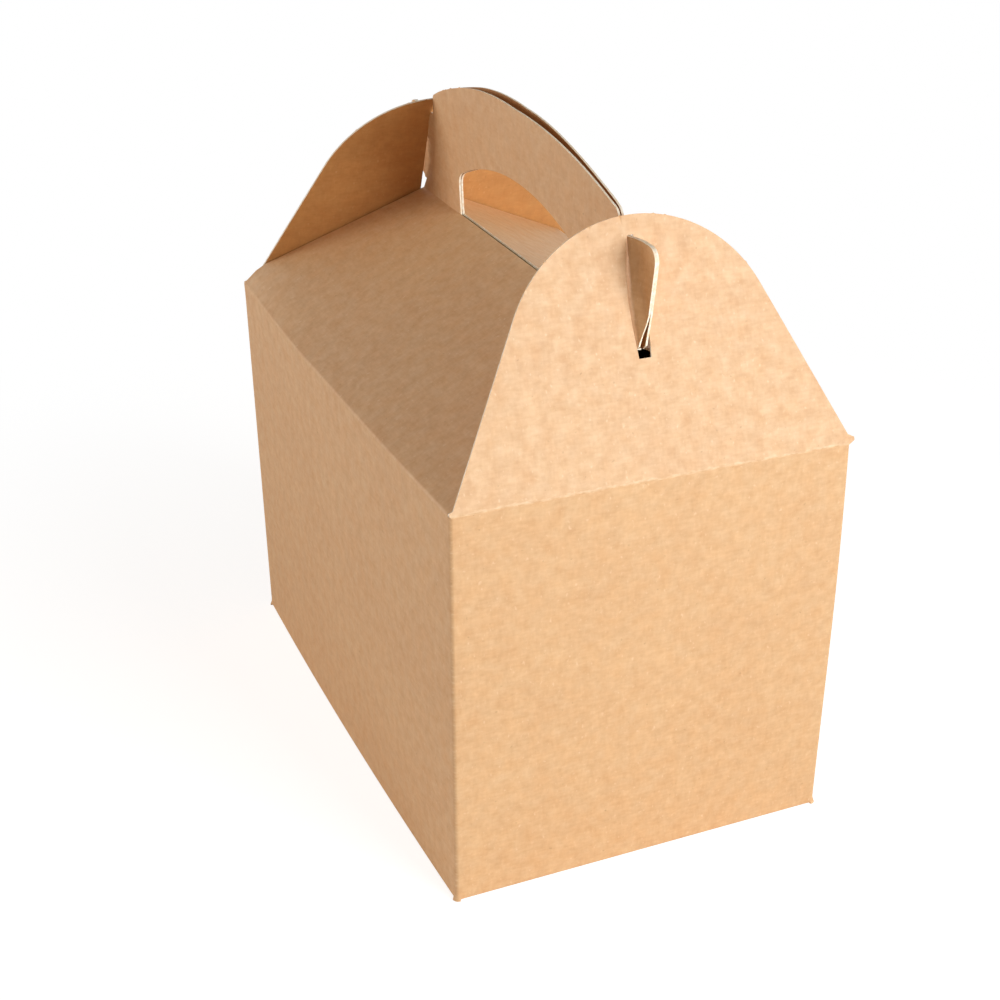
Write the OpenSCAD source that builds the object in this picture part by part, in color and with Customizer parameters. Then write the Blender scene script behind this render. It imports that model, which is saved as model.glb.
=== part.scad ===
// Kids meal box: a gable carry box of plain kraft card, folded from one die cut blank.
// The origin is the centre of the base, Z is up, X runs across the box and Y along it.
// The front end is at the low end of Y. The two handle panels stand together on the ridge,
// and their ears pass through the slots of the two end flaps.

/* [Body] */
// Width across the box, over the end panels
body_w = 100; // [84:1:150]
// Length along the box, over the side panels
body_l = 157; // [146:1:220]
// Height of the walls, up to the top folds
body_h = 103; // [60:1:160]
// Thickness of the card
card_t = 0.5; // [0.35:0.05:0.7]
// Outer radius of the upright folds
fold_r = 0.9; // [0.8:0.1:1.5]

/* [Roof] */
// Rise of the roof panels from the top folds to the ridge
roof_rise = 27; // [20:1:32]
// Gap between the two handle panels where they leave the ridge
ridge_gap = 0.6; // [0.4:0.1:1.2]

/* [Handle] */
// Outward lean of each handle panel in degrees
handle_splay = 1.4; // [0.4:0.1:2.4]
// Height of the ends of the arched top edge above the top of the ears
shoulder_h = 3.2; // [2:0.1:6]
// Rise of the arched top edge from its ends to its middle
arch_rise = 9.6; // [6:0.2:14]
// Length of the hand hole along the ridge
hole_l = 78; // [60:1:88]
// Height of the hand hole at its middle, above the ridge
hole_h = 19; // [17:0.5:22]
// Radius of the arched top of the hand hole
hole_arch_r = 93; // [85:1:140]
// Radius of the two upper corners of the hand hole
hole_corner_r = 4; // [2:0.5:5]

/* [Ears] */
// Reach of each ear beyond its end flap, at the top of the ear
ear_reach = 11.6; // [8:0.2:14]
// Radius of the outer corner of each ear
ear_corner_r = 3; // [2:0.5:5]
// Height of the foot of each ear above the lower end of its slot, along the flap
ear_foot = 2.5; // [1.5:0.1:4]

/* [End flaps] */
// Inward lean of the front end flap in degrees
front_lean = 18.5; // [14:0.5:24]
// Inward lean of the rear end flap in degrees
rear_lean = 20.5; // [14:0.5:24]
// Length of the slot in each end flap
slot_l = 27.4; // [22:0.2:32]
// Drop of the lower end of the slot below the ridge, along the flap
slot_drop = 2.6; // [1.5:0.1:3.5]
// Height of the card above the slot
flap_head = 4.2; // [3:0.1:8]
// Radius of the round top of each end flap
flap_top_r = 33.6; // [28:0.2:39]

/* [Base] */
// Width of the locking tongue of the base
tongue_w = 50; // [36:1:60]
// Reach of the locking tongue past the middle of the base
tongue_reach = 30; // [20:1:34]
// Distance between the locking tongue and the hidden end flaps of the base
tongue_gap = 6; // [2:0.5:12]
// Depth of the notch that the locking tongue passes through
notch_d = 9; // [6:0.5:14]
// Bevel of the free corners of the hidden base flaps
base_bevel = 14; // [6:1:20]

/* [Side seam] */
// Width of the glued tab inside the upright seam
seam_tab_w = 13; // [8:1:20]
// Distance of the ends of the glued tab from the base and from the top fold
seam_tab_end = 4; // [2:0.5:8]

/* [Fits] */
// Gap between an end flap and its end panel at the fold
hinge_gap = 0.3; // [0.2:0.05:0.5]
// Gap between an end flap and the panels that stand behind it
flap_clear = 0.3; // [0.2:0.05:0.6]
// Gap between the ears and the edges of the slot
slot_clear = 0.3; // [0.2:0.05:0.6]
// Gap between neighbouring edges of the base flaps
base_seam = 0.6; // [0.4:0.1:1.2]

/* [Hidden] */

$fn = 128;
far = 400;
front = -1;
rear = 1;
kraft = "#D9A877";
kraft_light = "#F0C090";

ridge_z = body_h + roof_rise;
ridge_x = ridge_gap / 2;
roof_slope = atan(roof_rise / (body_w / 2 - ridge_x));
roof_drop = card_t / cos(roof_slope);

hinge_y = body_l / 2 - card_t / 2;
hinge_z = body_h - card_t / 2;
behind_flap = -card_t / 2 - flap_clear;

slot_low = (ridge_z - hinge_z) / cos(front_lean) - slot_drop;
slot_high = slot_low + slot_l;
ear_low = slot_low + ear_foot;
ear_high = slot_high - slot_clear;
flap_h = slot_high + flap_head;

handle_foot_z = ridge_z - card_t;
handle_outer_x = ridge_x + card_t + (hinge_z + ear_high - ridge_z) * tan(handle_splay);
slot_w = 2 * (handle_outer_x + slot_clear);

base_flap_d = body_l / 2 - card_t - tongue_w / 2 - tongue_gap;
join = 1;
// Depth by which a round crosses its straight neighbour, in place of only grazing it
bite = 0.03;
// Angle by which a round runs on past the point where its straight neighbour ends
overlap = 6;

// Height and sideways place of a point at distance v up a flap and w outside its middle layer
function on_flap(end, lean, v, w) = [
    end * (hinge_y - v * sin(lean) + w * cos(lean)),
    hinge_z + v * cos(lean) + w * sin(lean)
];

// Distance from the middle of the box of the line just behind a flap, at height z
function behind_y(lean, z) =
    let (v = (z - hinge_z - behind_flap * sin(lean)) / cos(lean))
    hinge_y - v * sin(lean) + behind_flap * cos(lean);

function lean_of(end) = end == front ? front_lean : rear_lean;
function handle_end_y(end) = abs(on_flap(end, lean_of(end), flap_h, behind_flap)[0]);
function ear_top_z(end) = on_flap(end, lean_of(end), ear_high, 0)[1];

// Centre of a corner of radius r under a level edge at top_z, against a line from foot to tip
function corner_centre(foot, tip, r) =
    let (k = (tip[0] - foot[0]) / (tip[1] - foot[1]))
    let (z = tip[1] - r)
    [tip[0] - k * r - sign(tip[0]) * r * sqrt(1 + k * k), z];

// Part of a disc about centre, between two angles
module sector(centre, r, from, to) {
    turn = (to - from) / 4;
    translate(centre)
        intersection() {
            circle(r = r);
            polygon([
                [0, 0],
                for (i = [0 : 4])
                    [2 * r * cos(from + i * turn), 2 * r * sin(from + i * turn)]
            ]);
        }
}

// Outline of the body seen from above, grown or shrunk all round
module rounded_plan(grow = 0) {
    w = body_w + 2 * grow;
    l = body_l + 2 * grow;
    r = fold_r + grow;
    square([w - 2 * r, l], center = true);
    square([w, l - 2 * r], center = true);
    for (x = [-1, 1], y = [-1, 1])
        translate([x * (w / 2 - r), y * (l / 2 - r)])
            circle(r = r);
}

// Four walls with rounded upright folds, lower at both ends where the end flaps fold
module walls() {
    end_top = hinge_z - card_t / 2 - hinge_gap;
    end_zone = card_t + hinge_gap;
    difference() {
        linear_extrude(body_h)
            difference() {
                rounded_plan();
                rounded_plan(-card_t);
            }
        for (end = [front, rear])
            translate([0, end * (body_l / 2 - end_zone + far / 2), end_top + far / 2])
                cube([far, far, far], center = true);
    }
}

// Glued tab inside the upright seam, on the right side panel at the rear
module seam_tab() {
    low = seam_tab_end;
    high = body_h - seam_tab_end;
    bevel = seam_tab_w / 4;
    y1 = body_l / 2 - card_t / 2;
    y0 = body_l / 2 - card_t - seam_tab_w;
    translate([body_w / 2 - 2 * card_t, 0, 0])
        rotate([90, 0, 90])
            linear_extrude(card_t + card_t / 4)
                polygon([
                    [y1, low], [y0 + bevel, low], [y0, low + bevel],
                    [y0, high - bevel], [y0 + bevel, high], [y1, high]
                ]);
}

// Notch in the free edge of the left base panel, which the tongue passes through
module base_notch() {
    polygon([
        [base_seam / 2, -tongue_w / 2 - base_seam], [-notch_d, -tongue_w / 2 + notch_d / 2],
        [-notch_d, tongue_w / 2 - notch_d / 2], [base_seam / 2, tongue_w / 2 + base_seam]
    ]);
}

// Outer layer of the base: two panels that meet along the middle
module base_panels() {
    linear_extrude(card_t)
        difference() {
            rounded_plan();
            square([base_seam, body_l - 4 * fold_r], center = true);
            base_notch();
        }
}

// Inner layer of the base: the two end flaps and the locking tongue
module base_inner() {
    half_w = body_w / 2 - card_t / 2;
    root_y = body_l / 2 - card_t / 2;
    tip_y = root_y - base_flap_d;
    translate([0, 0, card_t])
        linear_extrude(card_t) {
            for (end = [front, rear])
                polygon([
                    [-half_w, end * root_y], [half_w, end * root_y],
                    [half_w - base_bevel, end * tip_y], [-half_w + base_bevel, end * tip_y]
                ]);
            polygon([
                [notch_d, -tongue_w / 2], [notch_d, tongue_w / 2],
                [-tongue_reach + base_bevel / 2, tongue_w / 2], [-tongue_reach, tongue_w / 2 - base_bevel / 2],
                [-tongue_reach, -tongue_w / 2 + base_bevel / 2], [-tongue_reach + base_bevel / 2, -tongue_w / 2]
            ]);
        }
}

// Everything that lies outside the line just behind one end flap
module beyond_flap(end) {
    translate([0, end * hinge_y, hinge_z])
        rotate([end * lean_of(end), 0, 0])
            translate([-far / 2, end > 0 ? behind_flap : -behind_flap - far, -far / 2])
                cube([far, far, far]);
}

// One roof panel, from the top fold of a side panel up to the ridge
module roof_panel(side) {
    difference() {
        rotate([90, 0, 0])
            linear_extrude(body_l, center = true)
                polygon([
                    [side * body_w / 2, body_h], [side * ridge_x, ridge_z],
                    [side * ridge_x, ridge_z - roof_drop], [side * body_w / 2, body_h - roof_drop]
                ]);
        beyond_flap(front);
        beyond_flap(rear);
    }
}

// Outline of one ear, with the strip of the handle panel that carries it
module ear_outline(end) {
    lean = lean_of(end);
    top_z = ear_top_z(end);
    foot = on_flap(end, lean, ear_low, card_t / 2);
    tip = [on_flap(end, lean, ear_high, 0)[0] + end * ear_reach, top_z];
    centre = corner_centre(foot, tip, ear_corner_r);
    tilt = atan2(abs(tip[0] - foot[0]), tip[1] - foot[1]);
    inner_y = end * (handle_end_y(end) - join);
    polygon([
        [inner_y, handle_foot_z],
        [end * behind_y(lean, handle_foot_z), handle_foot_z],
        on_flap(end, lean, ear_low, behind_flap),
        foot,
        [centre[0] + end * ear_corner_r * cos(tilt), centre[1] - ear_corner_r * sin(tilt)],
        centre,
        [centre[0], top_z],
        [inner_y, top_z]
    ]);
    translate(centre)
        circle(r = ear_corner_r + bite);
}

// Outline of the hand hole: straight along the ridge, arched above, with round corners
module hole_outline() {
    arch_z = ridge_z + hole_h - hole_arch_r;
    corner_y = hole_l / 2 - hole_corner_r;
    corner_angle = acos(corner_y / (hole_arch_r - hole_corner_r));
    corner_z = arch_z + (hole_arch_r - hole_corner_r) * sin(corner_angle);
    polygon([
        [-hole_l / 2, ridge_z - join], [hole_l / 2, ridge_z - join], [hole_l / 2, corner_z],
        [corner_y, corner_z], [-corner_y, corner_z], [-hole_l / 2, corner_z]
    ]);
    for (y = [-corner_y, corner_y])
        translate([y, corner_z])
            circle(r = hole_corner_r + bite);
    sector([0, arch_z], hole_arch_r, corner_angle, 180 - corner_angle);
}

// Outline of a handle panel, seen from the side of the box
module handle_outline() {
    front_y = -handle_end_y(front);
    rear_y = handle_end_y(rear);
    end_z = ear_top_z(front) + shoulder_h;
    half = (rear_y - front_y) / 2;
    arch_r = (half * half + arch_rise * arch_rise) / (2 * arch_rise);
    difference() {
        union() {
            intersection() {
                translate([(front_y + rear_y) / 2, end_z + arch_rise - arch_r])
                    circle(r = arch_r);
                translate([front_y, handle_foot_z])
                    square([rear_y - front_y, far]);
            }
            ear_outline(front);
            ear_outline(rear);
        }
        hole_outline();
    }
}

module handle_panel(side) {
    translate([side * ridge_x, 0, ridge_z])
        rotate([0, side * handle_splay, 0])
            translate([side > 0 ? 0 : -card_t, 0, -ridge_z])
                rotate([90, 0, 90])
                    linear_extrude(card_t)
                        handle_outline();
}

// Outline of an end flap, in its own plane, with the fold along the X axis
module flap_outline() {
    centre_y = flap_h - flap_top_r;
    reach = sqrt(pow(body_w / 2, 2) + pow(centre_y, 2));
    side_r = flap_top_r - bite;
    turn = acos(side_r / reach) - atan2(centre_y, body_w / 2);
    touch = [side_r * cos(turn), centre_y + side_r * sin(turn)];
    difference() {
        union() {
            polygon([[-body_w / 2, 0], [body_w / 2, 0], touch, [0, centre_y], [-touch[0], touch[1]]]);
            sector([0, centre_y], flap_top_r, turn - overlap, 180 - turn + overlap);
        }
        translate([-slot_w / 2, slot_low])
            square([slot_w, slot_l]);
    }
}

// One end flap, leaning in against the ridge, with its lower edge on the fold
module end_flap(end) {
    translate([0, end * hinge_y, hinge_z])
        rotate([end * lean_of(end), 0, 0])
            rotate([90, 0, 0])
                linear_extrude(card_t, center = true)
                    flap_outline();
}

module carton() {
    color(kraft)
        union() {
            walls();
            seam_tab();
            base_panels();
            base_inner();
            for (side = [-1, 1]) {
                roof_panel(side);
                handle_panel(side);
            }
        }
}

module front_end_flap() {
    color(kraft_light)
        end_flap(front);
}

module rear_end_flap() {
    color(kraft_light)
        end_flap(rear);
}

carton();
front_end_flap();
rear_end_flap();
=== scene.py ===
"""Looks of a plain kraft gable carry box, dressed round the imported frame.

The box is one die cut blank. Each piece here starts as a flat blank in millimetres, is cut to its
outline, folded along its creases and given the thickness of the card. Flat coordinates stay on the
sheet as a UV map, so that the grain of the card runs across the folds as it does on real card.
"""

import logging
import math
from collections.abc import Callable, Sequence
from dataclasses import dataclass, field
from enum import Enum

import bpy
import numpy as np
from mathutils import Matrix, Vector
from mathutils.geometry import delaunay_2d_cdt

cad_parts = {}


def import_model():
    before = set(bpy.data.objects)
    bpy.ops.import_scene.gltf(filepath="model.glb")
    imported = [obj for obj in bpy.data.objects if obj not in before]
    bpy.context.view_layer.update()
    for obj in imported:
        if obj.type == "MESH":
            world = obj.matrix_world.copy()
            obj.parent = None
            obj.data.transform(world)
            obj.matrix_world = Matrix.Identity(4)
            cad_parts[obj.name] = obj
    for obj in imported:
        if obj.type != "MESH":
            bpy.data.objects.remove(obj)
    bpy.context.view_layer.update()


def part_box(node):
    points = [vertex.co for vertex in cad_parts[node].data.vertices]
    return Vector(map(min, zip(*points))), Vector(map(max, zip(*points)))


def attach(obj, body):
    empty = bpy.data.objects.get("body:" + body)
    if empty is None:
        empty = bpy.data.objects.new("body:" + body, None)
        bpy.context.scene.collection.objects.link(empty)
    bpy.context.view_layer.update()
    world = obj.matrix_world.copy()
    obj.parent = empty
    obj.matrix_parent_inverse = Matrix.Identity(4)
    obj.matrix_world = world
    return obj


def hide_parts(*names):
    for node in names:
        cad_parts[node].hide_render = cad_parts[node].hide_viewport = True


LOG = logging.getLogger("carry_box")
MM = 0.001
UV_NAME = "blank"
CREASE = "crease"

FRONT, REAR = -1, 1
FINE_STEP = 0.6
COARSE_STEP = 2.0

Point = tuple[float, float]
Tree = bpy.types.NodeTree
Socket = bpy.types.NodeSocket
Colour = tuple[float, float, float, float]
WHITE: Colour = (1.0, 1.0, 1.0, 1.0)


class Face(Enum):
    """The three faces that a piece of card shows, as material slots."""

    OUTER = 0
    CUT = 1
    INNER = 2


def ease(x: np.ndarray | float) -> np.ndarray:
    """Smooth step from 0 to 1 as x goes from 0 to 1."""
    t = np.clip(x, 0.0, 1.0)
    return t * t * (3.0 - 2.0 * t)


def ridge(distance: np.ndarray, width: float, height: float) -> np.ndarray:
    """Smooth ridge of a width and a height along a line at distance 0."""
    return height * np.exp(-((distance / width) ** 2))


def linear(hex_colour: str) -> Colour:
    """Turns an sRGB hex colour into a linear one.

    Args:
        hex_colour: Six hex digits, with or without a hash sign.

    Returns:
        Red, green, blue and an alpha of 1.
    """
    digits = hex_colour.lstrip("#")
    parts = [int(digits[i : i + 2], 16) / 255.0 for i in (0, 2, 4)]
    red, green, blue = (c / 12.92 if c <= 0.04045 else ((c + 0.055) / 1.055) ** 2.4 for c in parts)
    return red, green, blue, 1.0


def add_node(
    tree: Tree, kind: str, settings: dict | None = None, links: dict | None = None
) -> bpy.types.Node:
    """Adds a node, sets its values and links its inputs.

    Args:
        tree: The node tree that gets the node.
        kind: The node's type name.
        settings: Values by property name, input name or input number.
        links: Output sockets by input name or input number.

    Returns:
        The new node.
    """
    node = tree.nodes.new(kind)
    for key, value in (settings or {}).items():
        if isinstance(key, int) or key in node.inputs:
            node.inputs[key].default_value = value
        else:
            setattr(node, key, value)
    for key, socket in (links or {}).items():
        tree.links.new(socket, node.inputs[key])
    return node


def new_material(name: str) -> bpy.types.Material:
    """Makes a material with an empty node tree.

    Args:
        name: Its name.

    Returns:
        The new material.
    """
    material = bpy.data.materials.new(name)
    material.use_nodes = True
    material.node_tree.nodes.clear()
    return material


def noise(tree: Tree, place: Socket, size_mm: Point, detail: float, turn: float = 0.0) -> Socket:
    """Adds noise on the flat sheet.

    Args:
        tree: The node tree.
        place: Flat coordinates in metres.
        size_mm: Size of the pattern along and across the sheet.
        detail: Number of finer layers.
        turn: Turn of the pattern in radians.

    Returns:
        The noise, about 0.5 in the mean.
    """
    scale = (1.0 / (size_mm[0] * MM), 1.0 / (size_mm[1] * MM), 1.0)
    settings = {"Scale": scale, "Rotation": (0.0, 0.0, turn)}
    spot = add_node(tree, "ShaderNodeMapping", settings, {"Vector": place}).outputs[0]
    settings = {"Scale": 1.0, "Detail": detail, "Roughness": 0.55}
    return add_node(tree, "ShaderNodeTexNoise", settings, {"Vector": spot}).outputs["Fac"]


def spread(tree: Tree, socket: Socket, taken: Point, given: Point, kind: str = "LINEAR") -> Socket:
    """Turns one range of values into another, clamped at both ends.

    Args:
        tree: The node tree.
        socket: The values.
        taken: Range of the values.
        given: What the ends of that range become.
        kind: Interpolation between the ends.

    Returns:
        The new values.
    """
    settings = {
        "interpolation_type": kind,
        "From Min": taken[0],
        "From Max": taken[1],
        "To Min": given[0],
        "To Max": given[1],
    }
    return add_node(tree, "ShaderNodeMapRange", settings, {"Value": socket}).outputs[0]


def weighted_sum(tree: Tree, parts: Sequence[tuple[Socket, float]]) -> Socket:
    """Adds up sockets.

    Args:
        tree: The node tree.
        parts: Each socket and its weight.

    Returns:
        The sum.
    """
    total = None
    for socket, weight in parts:
        settings = {"operation": "MULTIPLY_ADD", 1: weight, 2: 0.0}
        links = {0: socket} if total is None else {0: socket, 2: total}
        total = add_node(tree, "ShaderNodeMath", settings, links).outputs[0]
    return total


def mix(
    tree: Tree, factor: float | Socket, first: Colour | Socket, second: Colour | Socket, blend: str = "MIX"
) -> Socket:
    """Mixes two colours.

    Args:
        tree: The node tree.
        factor: Share of the second colour.
        first: The colour that the factor 0 gives.
        second: The colour that the factor 1 gives or applies.
        blend: How the second colour is applied.

    Returns:
        The mixed colour.
    """
    settings: dict = {"data_type": "RGBA", "blend_type": blend}
    links = {}
    for number, given in ((0, factor), (6, first), (7, second)):
        if isinstance(given, (tuple, float)):
            settings[number] = given
        else:
            links[number] = given
    return add_node(tree, "ShaderNodeMix", settings, links).outputs[2]


def finish_material(material: bpy.types.Material, settings: dict, links: dict) -> bpy.types.Material:
    """Gives a material its surface shader.

    Args:
        material: The material.
        settings: Uniform values of the shader.
        links: Sockets that drive the shader.

    Returns:
        The same material.
    """
    tree = material.node_tree
    shader = add_node(tree, "ShaderNodeBsdfPrincipled", settings, links).outputs[0]
    add_node(tree, "ShaderNodeOutputMaterial", links={"Surface": shader})
    return material


@dataclass
class FoldPath:
    """A line through corner points, with an arc at each inner corner.

    Attributes:
        points: Corner points in mm.
        radii: Arc radius at each inner corner in mm.
        origin: Number of the corner from which lengths along the line are counted.
    """

    points: Sequence[Point]
    radii: Sequence[float]
    origin: int = 0

    def __post_init__(self) -> None:
        """Works out the lengths and directions of the straight stretches."""
        self.xy = np.array(self.points, float)
        steps = np.diff(self.xy, axis=0)
        lengths = np.linalg.norm(steps, axis=1)
        self.dirs = steps / lengths[:, None]
        self.knots = np.concatenate([[0.0], np.cumsum(lengths)])
        self.knots -= self.knots[self.origin]

    def turn(self, corner: int) -> tuple[float, float]:
        """Angle turned at an inner corner, and the length that its arc takes.

        Args:
            corner: Number of the inner corner.

        Returns:
            The signed angle in radians, and the length taken on each side of the corner.
        """
        before, after = self.dirs[corner - 1], self.dirs[corner]
        angle = math.atan2(before[0] * after[1] - before[1] * after[0], float(before @ after))
        return angle, self.radii[corner - 1] * math.tan(abs(angle) / 2)

    def rows(self, corner: int, reach: float = 0.0) -> list[float]:
        """Lengths at which a sheet needs points to bend well at a corner.

        Args:
            corner: Number of the inner corner.
            reach: Extra distance outside the arc that also gets a row.

        Returns:
            Lengths along the line.
        """
        take = self.turn(corner)[1]
        inside = [self.knots[corner] + take * k for k in (-1.0, -0.6, -0.2, 0.2, 0.6, 1.0)]
        outside = [self.knots[corner] + k * (take + reach) for k in (-1.0, 1.0)]
        return inside + (outside if reach else [])

    def locate(self, s: np.ndarray) -> tuple[np.ndarray, np.ndarray]:
        """Places and directions at lengths along the line.

        Args:
            s: Lengths in mm.

        Returns:
            Points and unit directions, one row for each length.
        """
        last = len(self.dirs) - 1
        i = np.clip(np.searchsorted(self.knots, s, side="right") - 1, 0, last)
        place = self.xy[i] + self.dirs[i] * (s - self.knots[i])[:, None]
        heading = self.dirs[i].copy()
        for corner, radius in enumerate(self.radii, start=1):
            angle, take = self.turn(corner)
            near = np.abs(s - self.knots[corner]) < take
            if radius <= 0 or not near.any():
                continue
            before = self.dirs[corner - 1]
            side = np.array([-before[1], before[0]]) * math.copysign(1.0, angle)
            centre = self.xy[corner] - before * take + side * radius
            swing = angle * (s[near] - self.knots[corner] + take) / (2 * take)
            cos, sin = np.cos(swing)[:, None], np.sin(swing)[:, None]
            arm, crossed = -side * radius, np.array([side[1], -side[0]]) * radius
            place[near] = centre + cos * arm + sin * crossed
            heading[near] = cos * before + sin * np.array([-before[1], before[0]])
        return place, heading


@dataclass
class Blank:
    """A flat die cut shape and the lines on which it gets inner points.

    Attributes:
        outline: Outer corners, counterclockwise, in mm.
        holes: Corners of each hole.
        columns: Values of the first coordinate with a line of points.
        rows: Values of the second coordinate with a line of points.
        keep_off: Least distance of an inner point from an outline, in mm.
    """

    outline: Sequence[Point]
    holes: Sequence[Sequence[Point]]
    columns: Sequence[float]
    rows: Sequence[float]
    keep_off: float = 0.3

    SHORTEST = 0.12

    def _loops(self) -> list[np.ndarray]:
        """Outline and holes, each with a point wherever it crosses a line of inner points.

        Returns:
            Corners of each loop, the outline first.
        """
        lines = [np.unique(np.array(self.columns, float)), np.unique(np.array(self.rows, float))]
        loops = []
        for corners in (self.outline, *self.holes):
            made: list[np.ndarray] = []
            ring = [np.array(c, float) for c in corners]
            for a, b in zip(ring, ring[1:] + ring[:1]):
                stops = {0.0}
                for axis in (0, 1):
                    span = b[axis] - a[axis]
                    if abs(span) > 1e-9:
                        t = (lines[axis] - a[axis]) / span
                        stops.update(t[(t > 0) & (t < 1)].tolist())
                length = float(np.linalg.norm(b - a))
                kept: list[float] = []
                for t in sorted(stops):
                    clear = not kept or (t - kept[-1]) * length > self.SHORTEST
                    if clear and (t == 0 or (1 - t) * length > self.SHORTEST):
                        kept.append(t)
                made.extend(a + (b - a) * t for t in kept)
            loops.append(np.array(made))
        return loops

    @staticmethod
    def _inside(points: np.ndarray, loops: Sequence[np.ndarray]) -> np.ndarray:
        """Whether each point lies in the outline and outside the holes.

        Args:
            points: Points on the flat sheet.
            loops: The outline and the holes.

        Returns:
            True for each point on the card.
        """
        odd = np.zeros(len(points), bool)
        for loop in loops:
            a, b = loop, np.roll(loop, -1, axis=0)
            for (x0, y0), (x1, y1) in zip(a, b):
                if y0 != y1:
                    cross = (points[:, 1] > y0) != (points[:, 1] > y1)
                    odd ^= cross & (points[:, 0] < x0 + (points[:, 1] - y0) * (x1 - x0) / (y1 - y0))
        return odd

    @staticmethod
    def _clearance(points: np.ndarray, loops: Sequence[np.ndarray]) -> np.ndarray:
        """Distance of each point from the nearest edge.

        Args:
            points: Points on the flat sheet.
            loops: The outline and the holes.

        Returns:
            Distances in mm.
        """
        best = np.full(len(points), np.inf)
        for loop in loops:
            a, b = loop, np.roll(loop, -1, axis=0)
            for start, end in zip(a, b):
                edge = end - start
                t = np.clip((points - start) @ edge / max(float(edge @ edge), 1e-12), 0.0, 1.0)
                best = np.minimum(best, np.linalg.norm(points - start - t[:, None] * edge, axis=1))
        return best

    def cut(self) -> tuple[np.ndarray, list[list[int]]]:
        """Cuts the blank into triangles.

        Returns:
            Flat points and the triangles between them.
        """
        loops = self._loops()
        grid = np.array([(x, y) for x in np.unique(self.columns) for y in np.unique(self.rows)])
        grid = grid[self._inside(grid, loops)]
        grid = grid[self._clearance(grid, loops) > self.keep_off]
        points = np.concatenate([*loops, grid])
        edges, base = [], 0
        for loop in loops:
            edges += [(base + i, base + (i + 1) % len(loop)) for i in range(len(loop))]
            base += len(loop)
        made = delaunay_2d_cdt([Vector(p) for p in points], edges, [], 0, 1e-5, False)
        flat = np.array([tuple(v) for v in made[0]])
        faces = [list(f) for f in made[2]]
        middle = np.array([flat[f].mean(axis=0) for f in faces])
        keep = self._inside(middle, loops)
        faces = [f for f, wanted in zip(faces, keep) if wanted]
        used = sorted({i for f in faces for i in f})
        again = {old: new for new, old in enumerate(used)}
        return flat[used], [[again[i] for i in f] for f in faces]


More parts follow.
